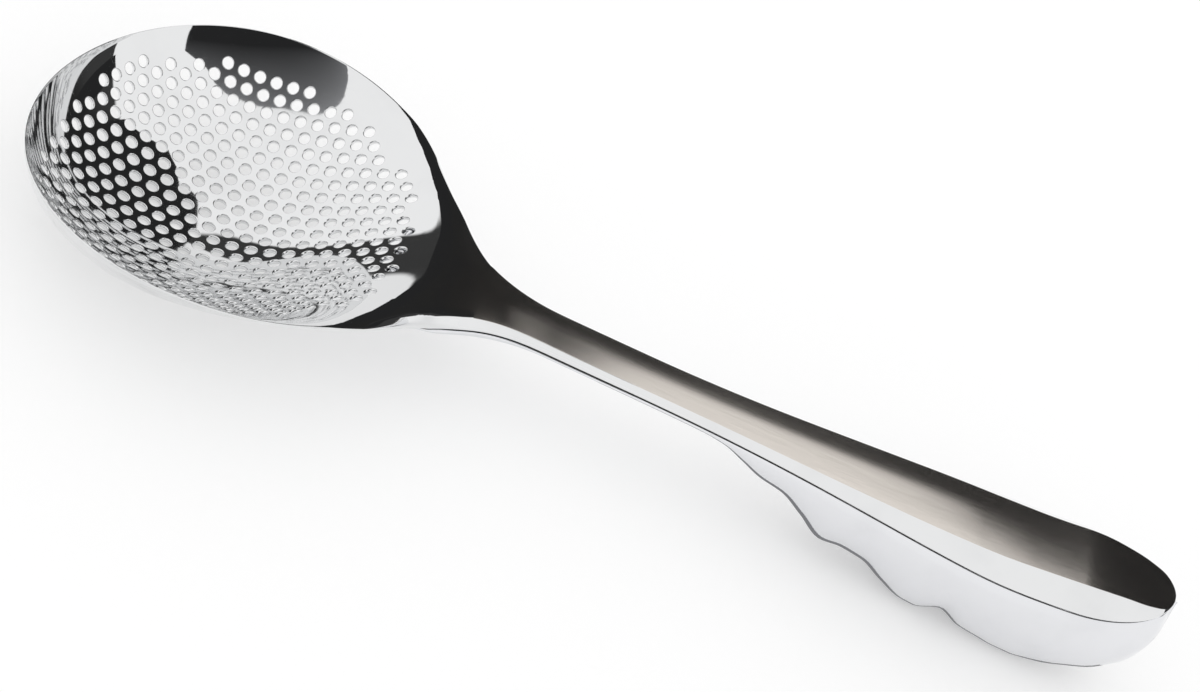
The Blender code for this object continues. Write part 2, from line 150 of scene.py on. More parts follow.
# (share of GRIP_LINE_LENGTH from the top's end, depth as a share of the seam's height)
GRIP_LINE = (
    (1.0, 0.1), (0.881, 0.1), (0.836, 0.14), (0.791, 0.268), (0.744, 0.394), (0.701, 0.437),
    (0.648, 0.611), (0.593, 0.795), (0.557, 0.749), (0.516, 0.762), (0.465, 0.891), (0.413, 0.99),
    (0.392, 0.99), (0.349, 0.849), (0.302, 0.955), (0.257, 0.985), (0.235, 1.0), (0.194, 1.0),
)
# (share of the rounded end's length, depth share before the end's own rounding)
END_LINE = ((0.0, 0.981), (0.22, 0.929), (0.42, 0.856), (0.62, 0.802), (0.8, 0.737), (1.0, 0.737))

# Mesh fineness
PLAN_STEP = 0.0001
OUTLINE_BLUR = 0.002
# (start, run) along x, in which the smoothing of the two outlines comes in and fades
OUTLINE_BLUR_IN = (0.06, 0.015)
POCKET_BLUR_IN = (0.07, 0.006)
POCKET_BLUR_OUT = (0.086, 0.007)
ARC_STEP = 0.0005
PRESS_TURNS = 2
SLOPE_STEP = 0.00005
FINE_STEPS = 4000
RIM_STEP = 0.0009
RIM_RINGS = (0.001, 0.0018, 0.0028, 0.004, 0.0056)
PLAIN_STEP = 0.0014
CLEAR_OF_CELLS = 0.00055
PANEL_COLUMNS = 30
BEVEL_COLUMNS = 4
TOP_COLUMNS = PANEL_COLUMNS + 2 * BEVEL_COLUMNS
STATION_STEP = 0.0011
SHELL_COLUMNS = 48
END_STEPS = 22
PLAN_SCALE = 1000.0
POINTS_AT_ONCE = 500
POINTS_BACK = 200
PLAN_MATCH = 0.00001
SPOT_DIGITS = 6
# Steps kept clear of the outline and of the tip when slopes are read
SIDE_STEPS = 4
TIP_STEPS = 6
PLAIN_FROM = 0.07
PLAIN_SIDE = 0.05
INSET_RUN = 0.012
INSET_FADE = 20.0
END_TURN = math.radians(88.5)
END_CAPS = (0.62, 0.52, 0.42, 0.32, 0.22, 0.12, 0.05)
END_CAP_GAP = 0.002
# Share of the rounded end past which the mesh's own normals are kept
OWN_NORMALS_FROM = 0.975
# Largest shares of a row's half width for the panel and for the gap at its crease
PANEL_MOST = 0.96
CREASE_MOST = 0.02
LIP = 0.00036
# (inset from the outline, drop below the top face or, past half the skirt, below the edge line)
LIP_RINGS = ((0.00012, 0.00003), (0.0, 0.00014), (0.0, 0.0005), (0.0001, 0.0006))
# Least length of a normal that is given and not left to the mesh
KNOWN = 0.1
# Lean of the normals on a hole's rolled edge: along the sheet's normal, and into the hole
ROLL_UP = 0.6
ROLL_SIDE = 0.8
MIRROR = np.array([1.0, -1.0])

# Finishes: linear colours, clean and smudged or off and on a streak
BOWL_POLISH = ((0.80, 0.805, 0.81, 1.0), (0.765, 0.77, 0.775, 1.0))
SATIN = ((0.60, 0.558, 0.515, 1.0), (0.84, 0.785, 0.727, 1.0))
GRIP_POLISH = ((0.80, 0.805, 0.825, 1.0), (0.765, 0.77, 0.79, 1.0))
WELD_TINT = ((0.44, 0.42, 0.40, 1.0), (0.36, 0.30, 0.30, 1.0))
WELD_RIPPLE = (0.50, 0.48, 0.46, 1.0)
# (along, across, weight) of the two grains in the brushing
GRAINS = ((24.0, 2600.0, 0.55), (9.0, 900.0, 0.45))
GRIP_FINENESS = 0.6
SMUDGE_SCALE = 70.0
SMUDGE_RANGE = (0.42, 0.72)
SCRATCH_TURNS = (0.35, 1.25, 2.3)
SCRATCH_STRETCH = (45.0, 1500.0, 300.0)
SCRATCH_RANGE = (0.70, 0.78)
RIPPLE_SCALE = 900.0
# Roughness: (added by smudges, streaks or ripples, least), and what scratches add
BOWL_ROUGHNESS = (0.025, 0.03)
BOWL_SCRATCH = 0.05
SATIN_ROUGHNESS = (0.08, 0.17)
GRIP_ROUGHNESS = (0.04, 0.07)
GRIP_SCRATCH = 0.06
WELD_ROUGHNESS = (0.25, 0.32)
BRUSH_RELIEF = 0.012
BRUSH_DEPTH = 0.00002
WELD_RELIEF = 0.4
WELD_DEPTH = 0.0001

# Studio
# Top of the dark back, in degrees: (round from straight behind, up from the floor)
BACK_LINE = (
    (-46, -8), (-42.5, 14), (-40, 22), (-36, 30), (-30, 38), (-26, 40.5), (-18, 42), (-8, 39),
    (3, 38.5), (6, 43), (8, 38), (11, 36), (14, 40), (17, 50), (20, 57), (26, 60), (58, 62), (64, 56),
    (70, 50), (78, 44), (84, 32), (88, 14), (91, -8),
)
BACK_SOFT = 1.6
BACK_SIDE_SOFT = 0.5
BACK_BLACK = 0.022
BACK_GREY = 0.045
# Part of the back that is black, not dark grey
BLACK_PART = (4.0, 64.0)
BLACK_SOFT = 8.0
# Bright window in the dark back: its sides at the floor. The left one curves over to the right
WINDOW = (-28.0, 2.0)
WINDOW_TOP = 36.0
WINDOW_CURVE = 3.0
WINDOW_CLEAR = 0.9
WINDOW_SOFT = (1.0, 3.0)
# Height range of the curve node for BACK_LINE
CURVE_LOW = -10.0
CURVE_SPAN = 100.0

# Dark cards round the spoon: (x, z) of the standing one, (x, y) of the level ones
FRONT_CARD_AT = -0.06
FRONT_CARD = (
    (0.012, 0.055), (0.012, 0.166), (-0.03, 0.2), (-0.06, 0.25), (-0.1, 0.29), (-0.15, 0.31),
    (-0.21, 0.296), (-0.26, 0.318), (-0.32, 0.36), (-0.36, 0.36), (-0.36, 0.2), (-0.2, 0.12),
    (-0.1, 0.07), (-0.03, 0.055),
)
FRONT_FADE = (0.125, 0.33)
HIGH_CARD_AT = 0.18
HIGH_CARD = (
    (-0.108, 0.078), (-0.085, 0.058), (-0.016, 0.062), (0.006, 0.085), (0.012, 0.13), (0.017, 0.2),
    (0.034, 0.3), (0.042, 0.45), (-0.15, 0.45), (-0.135, 0.2), (-0.122, 0.11),
)
END_CARD = ((0.129, 0.04), (0.35, 0.04), (0.35, 0.4), (0.129, 0.4))
HIGH_FADE = (HIGH_CARD_AT, 1.0)
# Painted shadow: a dark card just over the floor under the handle, seen only in the steel, standing in
# for the shaded floor there and reflected as dark lines along the underside's lower edges
PAINTED_SHADOW_AT = 0.0002
PAINTED_SHADOW_SIDE = ((0.0, 0.003), (0.04, 0.006), (0.065, 0.0075), (0.125, 0.0085), (0.143, 0.004))
PAINTED_SHADOW_FADE = (-1.0, PAINTED_SHADOW_AT)
CARD_GREY = 0.24
CARD_TINT = (0.96, 0.97, 1.0, 1.0)
FLOOR_REACH = 3
FLOOR_PAPER = (0.7, 0.7, 0.7, 1.0)
FLOOR_GLOW = 0.31
WHITE = (1.0, 1.0, 1.0, 1.0)

# Camera
CAMERA_AT = (-0.076, -0.424, 0.363)
CAMERA_TURN = (47.055, -24.678, 11.819)
CAMERA_LENS = 72.0
CAMERA_SENSOR = 36.0


def ramp(u):
    """Ramp from 0 to 1 with level ends."""
    u = np.clip(u, 0.0, 1.0)
    return u * u * (3.0 - 2.0 * u)


def rounded_max(u, radius):
    """The larger of u and 0, with its corner rounded."""
    return 0.5 * (u + np.sqrt(u * u + radius * radius))


def blurred(table, share):
    """A table over PLAN_STEP stations, smoothed by the share given for each station."""
    reach = int(3.0 * OUTLINE_BLUR / PLAN_STEP)
    weight = np.exp(-0.5 * (np.arange(-reach, reach + 1) * PLAN_STEP / OUTLINE_BLUR) ** 2)
    smooth = np.convolve(np.pad(table, reach, mode="edge"), weight / weight.sum(), mode="valid")
    return table + (smooth - table) * share


def ramp_in(x, start, run):
    """Ramp from 0 at start to 1 after a run."""
    return ramp((x - start) / run)


def unit(rows):
    """Rows of vectors brought to length 1."""
    return rows / np.linalg.norm(rows, axis=1, keepdims=True)


def stations(start, end):
    """Even stations along the handle, both ends included."""
    return np.linspace(start, end, int((end - start) / STATION_STEP) + 1)


def put(name, data):
    """New object in the scene, of a mesh or a camera."""
    made = bpy.data.objects.new(name, data)
    scene.collection.objects.link(made)
    return made


def hermite(kx, ky, x):
    """Smooth curve through the knots (kx, ky) that does not overshoot them."""
    h = np.diff(kx)
    slope = np.diff(ky) / h
    m = np.zeros(len(kx))
    for i in range(1, len(kx) - 1):
        if slope[i - 1] * slope[i] > 0.0:
            a, b = 2.0 * h[i] + h[i - 1], h[i] + 2.0 * h[i - 1]
            m[i] = (a + b) / (a / slope[i - 1] + b / slope[i])
    x = np.clip(x, kx[0], kx[-1])
    i = np.clip(np.searchsorted(kx, x, side="right") - 1, 0, len(h) - 1)
    t = (x - kx[i]) / h[i]
    return ((1.0 + 2.0 * t) * (1.0 - t) ** 2 * ky[i] + t * (1.0 - t) ** 2 * h[i] * m[i]
            + t * t * (3.0 - 2.0 * t) * ky[i + 1] + t * t * (t - 1.0) * h[i] * m[i + 1])


def end_share(x):
    """How far x lies along the rounded end, 0 to 1."""
    return np.clip((x - END_AT) / END_LENGTH, 0.0, 1.0)


def end_round(x):
    """Share of the width that the rounded end leaves at x."""
    return np.sqrt(np.maximum(1.0 - end_share(x) ** 2, 0.0))


def swell(x):
    """How far the handle has widened from neck to grip."""
    run = TOP_END - GRIP_FROM_END - NECK_AT
    return ramp(np.clip((x - NECK_AT) / run, 0.0, 1.0) ** GRIP_SWELL)


def drawn_half_width(x):
    """Half the plan width at x before the blends are smoothed and the end is rounded."""
    reach = np.where(x <= BOWL_FRONT, BOWL_FRONT, BOWL_BACK)
    bowl = 0.5 * BOWL_WIDTH * np.sqrt(np.maximum(1.0 - ((x - BOWL_FRONT) / reach) ** 2, 0.0))
    flare = np.clip((NECK_AT - x) / NECK_FLARE_LENGTH, 0.0, NECK_FLARE_REACH)
    flare = np.where(flare < 1.0, flare ** NECK_FLARE_CURVE, 1.0 + NECK_FLARE_SLOPE * (flare - 1.0))
    neck = 0.5 * NECK_WIDTH + NECK_FLARE * flare + 0.5 * (GRIP_WIDTH - NECK_WIDTH) * swell(x)
    blend = FILLET * ramp_in(x, FILLET_AT, FILLET_RUN)
    blend = blend * (1.0 - ramp((x - BOWL_FRONT - BOWL_BACK) / FILLET_FADE))
    whole = 0.5 * (bowl + neck + np.sqrt((bowl - neck) ** 2 + blend * blend))
    return np.where(x <= BOWL_FRONT, bowl, whole)


PLAN_X = np.arange(0.0, LENGTH + PLAN_STEP, PLAN_STEP)
OUTLINE_TABLE = blurred(drawn_half_width(PLAN_X), ramp_in(PLAN_X, *OUTLINE_BLUR_IN))


def full_half_width(x):
    """Half the plan width at x before the handle's end is rounded."""
    fine = np.interp(x, PLAN_X, OUTLINE_TABLE)
    return np.where(x < BOWL_FRONT, drawn_half_width(x), fine)


def half_width(x):
    """Half the plan width at x."""
    return full_half_width(x) * end_round(x)


def edge_height(x):
    """Height of the rim, and of the handle's shoulder line behind it."""
    lift = 1.0 - (1.0 - np.minimum(x, RIM_PEAK_AT) / RIM_PEAK_AT) ** 2
    rim = TIP_HEIGHT + (RIM_HEIGHT - TIP_HEIGHT) * lift
    drop = ramp_in(x, RIM_DROP_AT, JOIN_AT - RIM_DROP_AT)
    seam = NECK_HEIGHT + SEAM_SLOPE * rounded_max(x - NECK_AT, SEAM_BEND)
    late = np.maximum(x - TOP_END + END_RISE_LENGTH, 0.0) / END_RISE_LENGTH
    return rim + (seam - rim) * drop + END_RISE * late * late


def crown(x):
    """How far the middle of the section stands over its edges."""
    rise = ramp_in(x, POCKET_SIDE_AT, POCKET_END_AT - POCKET_SIDE_AT)
    flare = np.clip((NECK_AT - x) / NECK_FLARE_LENGTH, 0.0, SHOULDER_REACH)
    top = NECK_CROWN + (GRIP_CROWN - NECK_CROWN) * swell(x) + SHOULDER_CROWN * flare * flare
    return rise * top * end_round(x) ** END_FLATNESS


def bevel_at(x):
    """Where the brushed panel ends across the half width, and its height there against the crown."""
    at, end, low = np.array(BEVEL_LINE).T
    return hermite(at, end, x), hermite(at, low, x)


def section(x, s):
    """Height over the shoulder line, as a share of the crown, at the share s of the half width."""
    end, low = bevel_at(x)
    panel = low + (1.0 - low) * (1.0 - (s / end) ** 2)
    bevel = low * (1.0 - s) / (1.0 - end)
    dome = np.sqrt(1.0 - s * s)
    return dome + (np.where(s < end, panel, bevel) - dome) * ramp_in(x, BEVEL_FROM, BEVEL_RUN)


def floor_height(x):
    """Height of the bowl's inside along its middle line."""
    u = np.maximum(FLOOR_AT - x, 0.0) / FLOOR_AT
    front = (TIP_HEIGHT - SHEET) * (FLOOR_ROUND * u ** 2 + (1.0 - FLOOR_ROUND) * u ** FLOOR_STEEP)
    u = np.clip((x - FLOOR_AT) / (POCKET_END_AT - FLOOR_AT), 0.0, 1.0)
    crest = edge_height(POCKET_END_AT) + crown(POCKET_END_AT)
    back = (crest - SHEET) * ramp(u ** FLOOR_RAMP)
    return SHEET + np.where(x <= FLOOR_AT, front, back)


def drawn_pocket(x):
    """Half the plan width of the hollow at x before its blend is smoothed."""
    u = np.clip((x - POCKET_SIDE_AT) / (POCKET_END_AT - POCKET_SIDE_AT), 0.0, 1.0)
    taper = half_width(POCKET_SIDE_AT) * (1.0 - u) ** POCKET_TAPER
    return np.where(x <= POCKET_SIDE_AT, half_width(x), np.minimum(half_width(x), taper))


POCKET_TABLE = blurred(drawn_pocket(PLAN_X), ramp_in(PLAN_X, *POCKET_BLUR_IN)
                       * (1.0 - ramp_in(PLAN_X, *POCKET_BLUR_OUT)))


def pocket_half_width(x):
    """Half the plan width of the hollow at x."""
    fine = np.interp(x, PLAN_X, POCKET_TABLE)
    return np.where(x < BOWL_FRONT, half_width(x), np.minimum(fine, half_width(x)))


def top_height(x, y):
    """Height of the top face of the upper pressing."""
    wide = np.maximum(half_width(x), SLOPE_STEP)
    s = np.minimum(np.abs(y) / wide, 1.0)
    edge, rise = edge_height(x), crown(x)
    z = edge + rise * section(x, s)
    pocket = pocket_half_width(x)
    depth = edge + rise - floor_height(x)
    late = ramp_in(x, POCKET_SHOULDER_AT, POCKET_END_AT - POCKET_SHOULDER_AT)
    flare = POCKET_FLARE + (POCKET_SHOULDER_FLARE - POCKET_FLARE) * late
    across = np.where(np.abs(y) < pocket, np.abs(y) / np.maximum(pocket, SLOPE_STEP), 1.0)
    return z - depth * np.maximum(1.0 - across ** 2, 0.0) ** flare


def top_normals(x, y):
    """Unit normals of the top face, read just inside the edge for points on it."""
    inner = np.maximum(half_width(x) - SIDE_STEPS * SLOPE_STEP, 0.0)
    y = np.clip(y, -inner, inner)
    ahead = np.maximum(x, TIP_STEPS * SLOPE_STEP)
    dx = top_height(ahead + SLOPE_STEP, y) - top_height(ahead - SLOPE_STEP, y)
    dy = top_height(ahead, y + SLOPE_STEP) - top_height(ahead, y - SLOPE_STEP)
    return unit(np.stack([-dx, -dy, np.full_like(dx, 2.0 * SLOPE_STEP)], axis=1))


def from_rim(x, y):
    """Plan distance of a point inside the bowl from the outline, near the outline."""
    slope = (half_width(x + PLAN_STEP) - half_width(x - PLAN_STEP)) / (2.0 * PLAN_STEP)
    side = (half_width(x) - np.abs(y)) / np.sqrt(1.0 + slope ** 2)
    f = 1.0 - ((x - BOWL_FRONT) / BOWL_FRONT) ** 2 - (2.0 * y / BOWL_WIDTH) ** 2
    steep = 2.0 * np.hypot((x - BOWL_FRONT) / BOWL_FRONT ** 2, y * (2.0 / BOWL_WIDTH) ** 2)
    return np.where(x < BOWL_FRONT, f / np.maximum(steep, 1.0), side)


def sheet_at(x, y):
    """Thickness of the bowl's sheet, thinned to the polished rim."""
    return RIM_SHEET + (SHEET - RIM_SHEET) * ramp(from_rim(x, y) / RIM_TAPER)


def press(blank):
    """Plan points of blank points counted from the field's middle.

    The blank is pressed along the bowl's own axis, which leans back from the vertical by its tilt,
    and keeps its lengths along the lines out from the middle.
    """
    reach = np.maximum(np.hypot(blank[:, 0], blank[:, 1]), 1e-9)
    axis = np.array([-math.sin(BOWL_TILT), 0.0, math.cos(BOWL_TILT)])
    along = np.outer(blank[:, 0] / reach, [math.cos(BOWL_TILT), 0.0, math.sin(BOWL_TILT)])
    along[:, 1] = blank[:, 1] / reach
    middle = np.array([FIELD_AT, 0.0, float(top_height(np.float64(FIELD_AT), np.float64(0.0)))])
    here = np.tile(middle, (len(blank), 1))
    found = here[:, :2].copy()
    arc, lift = np.zeros(len(blank)), np.zeros(len(blank))
    for step in range(1, int(reach.max() / ARC_STEP) + 2):
        flat = middle + along * (step * ARC_STEP)
        for _ in range(PRESS_TURNS):
            spot = flat + np.outer(lift, axis)
            lift = lift + (top_height(spot[:, 0], spot[:, 1]) - spot[:, 2]) / axis[2]
        spot = flat + np.outer(lift, axis)
        span = np.linalg.norm(spot - here, axis=1)
        ends = (arc < reach) & (arc + span >= reach)
        found[ends] = (here + (spot - here) * ((reach - arc) / span)[:, None])[ends, :2]
        arc = arc + span
        here = spot
    return found


def depth_share(x):
    """Depth of the underside at x as a share of the seam's height."""
    knots = [(JOIN_AT, JOIN_DEPTH_SHARE), (NECK_AT, NECK_DEPTH_SHARE)]
    knots += [(TOP_END - GRIP_LINE_LENGTH * share, depth) for share, depth in GRIP_LINE]
    knots += [(END_AT + END_LENGTH * share, depth) for share, depth in END_LINE]
    return hermite(*np.array(knots).T, x)


def seam_base(x, y):
    """Height of the underside's upper edge, clear of the pressing over it."""
    top = edge_height(x) - SKIRT
    n = top_normals(x, y)
    below = top_height(x, y) - SHEET / np.maximum(n[:, 2], 0.5)
    under = ramp((JOIN_AT - x) / SHELL_BLEND)
    return top + np.minimum(below - top, 0.0) * under - SEAM_GAP


def front_ramp(x):
    """0 at the underside's front edge under the bowl, 1 from the join on."""
    return ramp_in(x, SHELL_FRONT_AT, JOIN_AT - SHELL_FRONT_AT)


def shell_depth(x):
    """Depth of the underside below its edge at x."""
    middle = np.zeros_like(x)
    cap = np.maximum(1.0 - end_share(x) ** END_FULLNESS, 0.0) ** (1.0 / END_FULLNESS)
    handle = depth_share(x) * seam_base(np.maximum(x, JOIN_AT), middle) * cap
    front = SHEET + SHELL_FRONT_DIP
    return np.where(x < JOIN_AT, front + (handle - front) * front_ramp(x), handle)


def shell_points(x, angle, inward):
    """Points of the underside, inward below its outer face, for sections x and angles around them."""
    squareness = 2.0 / SHELL_FULLNESS
    across = np.sign(np.sin(angle)) * np.abs(np.sin(angle)) ** squareness
    sink = np.maximum(np.cos(angle), 0.0) ** squareness
    below = np.minimum(2.0 * sink, 1.0)
    fullness = 2.0 + END_BULGE * below
    share = end_share(x)
    round_off = np.maximum(1.0 - share ** fullness, 0.0) ** (1.0 / fullness)
    over = END_OVERHANG * below * share ** 2
    inset = SHELL_FRONT_INSET * (1.0 - front_ramp(x))
    y = np.maximum(full_half_width(x) - inset - inward, 0.0) * across * round_off
    depth = shell_depth(x) - inward * end_round(x)
    back = x - inward * share
    return np.stack([back + over, y, seam_base(x, y) - depth * sink], axis=1)


def finish_piece(name, points, faces, material, smooth_normals=None, brushed=None):
    """Object of one piece from points counted from the tip, smooth shaded."""
    mesh = bpy.data.meshes.new(name)
    moved = np.asarray(points) - np.array([0.5 * LENGTH, 0.0, 0.0])
    mesh.from_pydata(moved.tolist(), [], [list(map(int, f)) for f in faces])
    if brushed is not None:
        mesh.attributes.new("brushed", "FLOAT", "POINT").data.foreach_set("value", brushed)
    mesh.shade_smooth()
    mesh.materials.append(material)
    mesh.update()
    if smooth_normals is not None:
        known = np.linalg.norm(smooth_normals, axis=1) > KNOWN
        normals = np.zeros(3 * len(mesh.vertices), dtype=np.float32)
        mesh.vertex_normals.foreach_get("vector", normals)
        normals = normals.reshape(-1, 3)
        normals[known] = smooth_normals[known]
        mesh.normals_split_custom_set_from_vertices(normals.tolist())
    return put(name, mesh)


class Tree:
    """Short ways to add and join nodes in one node tree."""

    def __init__(self, tree):
        self.tree = tree

    def node(self, kind, inputs=None, **settings):
        made = self.tree.nodes.new(kind)
        for key, value in settings.items():
            setattr(made, key, value)
        self.fill(made, inputs or {})
        return made

    def out(self, kind, inputs=None, **settings):
        return self.node(kind, inputs, **settings).outputs[0]

    def fill(self, made, inputs):
        for key, value in inputs.items():
            self.feed(made.inputs[key], value)

    def feed(self, socket, value):
        if isinstance(value, bpy.types.NodeSocket):
            self.tree.links.new(value, socket)
        else:
            socket.default_value = value

    def math(self, operation, a, b=0.0, c=0.0):
        return self.out("ShaderNodeMath", {0: a, 1: b, 2: c}, operation=operation)

    def plus(self, a, b):
        return self.math("ADD", a, b)

    def minus(self, a, b):
        return self.math("SUBTRACT", a, b)

    def times(self, a, b, c=0.0):
        """a times b, plus c."""
        return self.math("MULTIPLY_ADD", a, b, c)

    def over(self, a, b):
        return self.math("DIVIDE", a, b)

    def split(self, vector):
        return self.node("ShaderNodeSeparateXYZ", {0: vector}).outputs

    def blend(self, share, one, two):
        return self.out("ShaderNodeMix", {0: share, 2: one, 3: two}, data_type="FLOAT")

    def tint(self, share, one, two):
        return self.node("ShaderNodeMix", {0: share, 6: one, 7: two}, data_type="RGBA").outputs[2]

    def noise(self, place, scale, detail):
        return self.out("ShaderNodeTexNoise", {"Vector": place, "Scale": scale, "Detail": detail})

    def bump(self, relief, depth, height):
        return self.out("ShaderNodeBump", {"Strength": relief, "Distance": depth, "Height": height})

    def soft_step(self, value, low, high):
        limits = {0: value, 1: low, 2: high}
        return self.out("ShaderNodeMapRange", limits, interpolation_type="SMOOTHSTEP")


def new_socket(group, name, kind, way="INPUT"):
    """New socket on a node group."""
    return group.interface.new_socket(name, in_out=way, socket_type="NodeSocket" + kind)


def perforated_field_tree():
    """Geometry tree of the punched field on the flat blank: one sleeve-shaped cell per hole."""
    group = bpy.data.node_groups.new("perforated_field", "GeometryNodeTree")
    for name in FIELD_SIZES:
        new_socket(group, name, "Float")
    new_socket(group, "Facets", "Int")
    new_socket(group, "Material", "Material")
    new_socket(group, "Geometry", "Geometry", "OUTPUT")
    t = Tree(group)
    given = t.node("NodeGroupInput").outputs
    pitch = given["Pitch"]

    # Staggered lattice of hole centres, kept where the field is
    row_gap = t.times(pitch, math.sqrt(3.0) / 2.0)
    reach = t.math("MAXIMUM", given["Field Front"], given["Field Back"])
    reach = t.math("MAXIMUM", reach, given["Field Side"])
    columns = t.math("CEIL", t.over(reach, pitch))
    rows = t.math("CEIL", t.over(reach, row_gap))
    grid = t.out("GeometryNodeMeshGrid", {
        "Size X": t.times(t.times(columns, 2.0), pitch),
        "Size Y": t.times(t.times(rows, 2.0), row_gap),
        "Vertices X": t.times(columns, 2.0, 1.0),
        "Vertices Y": t.times(rows, 2.0, 1.0),
    })
    at = t.split(t.out("GeometryNodeInputPosition"))
    row = t.math("ROUND", t.over(at["Y"], row_gap))
    odd = t.math("MODULO", t.math("ABSOLUTE", row), 2.0)
    shift = t.out("ShaderNodeCombineXYZ", {"X": t.times(t.times(odd, pitch), 0.5)})
    lattice = t.out("GeometryNodeSetPosition", {"Geometry": grid, "Offset": shift})
    at = t.split(t.out("GeometryNodeInputPosition"))
    ahead = t.math("LESS_THAN", at["X"], 0.0)
    power = t.blend(ahead, given["Back Fullness"], given["Front Fullness"])
    length = t.blend(ahead, given["Field Back"], given["Field Front"])
    along = t.math("POWER", t.over(t.math("ABSOLUTE", at["X"]), length), power)
    aside = t.math("POWER", t.over(t.math("ABSOLUTE", at["Y"]), given["Field Side"]), power)
    outside = t.math("GREATER_THAN", t.plus(along, aside), 1.0)
    kept = t.out("GeometryNodeDeleteGeometry", {"Geometry": lattice, "Selection": outside},
                 domain="POINT")

    # One cell: an open sleeve in bands, from the top face over the rolled edge and down the hole
    sleeve = t.out("GeometryNodeMeshCylinder", {
        "Vertices": given["Facets"], "Side Segments": SLEEVE_BANDS,
        "Radius": 1.0, "Depth": SLEEVE_BANDS}, fill_type="NONE")
    at = t.split(t.out("GeometryNodeInputPosition"))
    ring = t.math("ROUND", t.plus(at["Z"], 0.5 * SLEEVE_BANDS))
    turn = t.plus(t.math("ARCTAN2", at["Y"], at["X"]), HALF_SIDE)
    folded = t.minus(t.math("FLOORED_MODULO", t.plus(turn, HALF_SIDE), 2.0 * HALF_SIDE), HALF_SIDE)
    hexagon = t.over(t.times(pitch, 0.5), t.math("COSINE", folded))
    hole = t.times(given["Hole Diameter"], 0.5)
    rolled = t.plus(hole, given["Edge Roll"])
    sunk = t.times(given["Edge Roll"], -EDGE_SINK)
    bottom = t.times(given["Sheet"], -1.0)
    low = t.minus(bottom, sunk)

    def by_ring(*values):
        switch = t.node("GeometryNodeIndexSwitch", data_type="FLOAT")
        while len(switch.index_switch_items) < len(values):
            switch.index_switch_items.new()
        t.feed(switch.inputs[0], ring)
        for socket, value in zip(switch.inputs[1:], values):
            t.feed(socket, value)
        return switch.outputs[0]

    radius = by_ring(hexagon, rolled, hole, hole, rolled, hexagon)
    height = by_ring(0.0, 0.0, sunk, low, bottom, bottom)
    outward = t.out("ShaderNodeCombineXYZ", {"X": t.math("COSINE", turn), "Y": t.math("SINE", turn)})
    for name, value, kind in (("ring", ring, "FLOAT"), ("outward", outward, "FLOAT_VECTOR")):
        sleeve = t.out("GeometryNodeStoreNamedAttribute", {
            "Geometry": sleeve, "Name": name, "Value": value}, data_type=kind, domain="POINT")
    place = t.out("ShaderNodeCombineXYZ", {
        "X": t.times(radius, t.math("COSINE", turn)),
        "Y": t.times(radius, t.math("SINE", turn)), "Z": height})
    cell = t.out("GeometryNodeSetPosition", {"Geometry": sleeve, "Position": place})

    laid = t.out("GeometryNodeInstanceOnPoints", {"Points": kept, "Instance": cell})
    real = t.out("GeometryNodeRealizeInstances", {"Geometry": laid})
    joined = t.out("GeometryNodeMergeByDistance", {"Geometry": real, "Distance": MERGE_GAP})
    dressed = t.out("GeometryNodeSetMaterial", {"Geometry": joined, "Material": given["Material"]})
    t.node("NodeGroupOutput", {"Geometry": dressed})
    return group


def perforated_field(material):
    """Arrays of the punched blank: points, rings, outward directions, faces."""
    group = perforated_field_tree()
    holder = put("perforated_blank", bpy.data.meshes.new("perforated_blank"))
    modifier = holder.modifiers.new("perforated_field", "NODES")
    modifier.node_group = group
    sizes = FIELD_SIZES | {"Facets": HOLE_FACETS, "Material": material}
    for item in group.interface.items_tree:
        if item.in_out == "INPUT":
            modifier[item.identifier] = sizes[item.name]
    bpy.context.view_layer.update()
    seen = holder.evaluated_get(bpy.context.evaluated_depsgraph_get())
    mesh = bpy.data.meshes.new_from_object(seen)
    count = len(mesh.vertices)
    points = np.zeros(3 * count)
    mesh.vertices.foreach_get("co", points)
    rings, outward = np.zeros(count), np.zeros(3 * count)
    mesh.attributes["ring"].data.foreach_get("value", rings)
    mesh.attributes["outward"].data.foreach_get("vector", outward)
    faces = [tuple(p.vertices) for p in mesh.polygons]
    bpy.data.objects.remove(holder)
    bpy.data.meshes.remove(mesh)
    return points.reshape(-1, 3), np.round(rings).astype(int), outward.reshape(-1, 3), faces


def border_loop(faces, rings, wanted):
    """Vertices round the outside of the punched field, on the face whose ring is wanted."""
    sides = [side for face in faces for side in zip(face, face[1:] + face[:1])]
    count = Counter(frozenset(side) for side in sides)
    after = {a: b for a, b in sides
             if count[frozenset((a, b))] == 1 and rings[a] == wanted and rings[b] == wanted}
    start = next(iter(after))
    loop = [start]
    while after[loop[-1]] != start:
        loop.append(after[loop[-1]])
    return loop


def in_loop(points, loop):
    """Which plan points lie inside the closed loop."""
    inside = np.zeros(len(points), dtype=bool)
    x, y = points[:, 0], points[:, 1]
    for (x0, y0), (x1, y1) in zip(loop, np.roll(loop, -1, axis=0)):
        crosses = (y0 > y) != (y1 > y)
        if y1 != y0:
            inside ^= crosses & (x < x0 + (y - y0) * (x1 - x0) / (y1 - y0))
    return inside


def far_from(points, others, least):
    """Which plan points are further than least from all the others."""
    keep = np.ones(len(points), dtype=bool)
    for start in range(0, len(points), POINTS_AT_ONCE):
        part = slice(start, start + POINTS_AT_ONCE)
        gap = np.linalg.norm(points[part, None] - others, axis=2)
        keep[part] = gap.min(axis=1) > least
    return keep


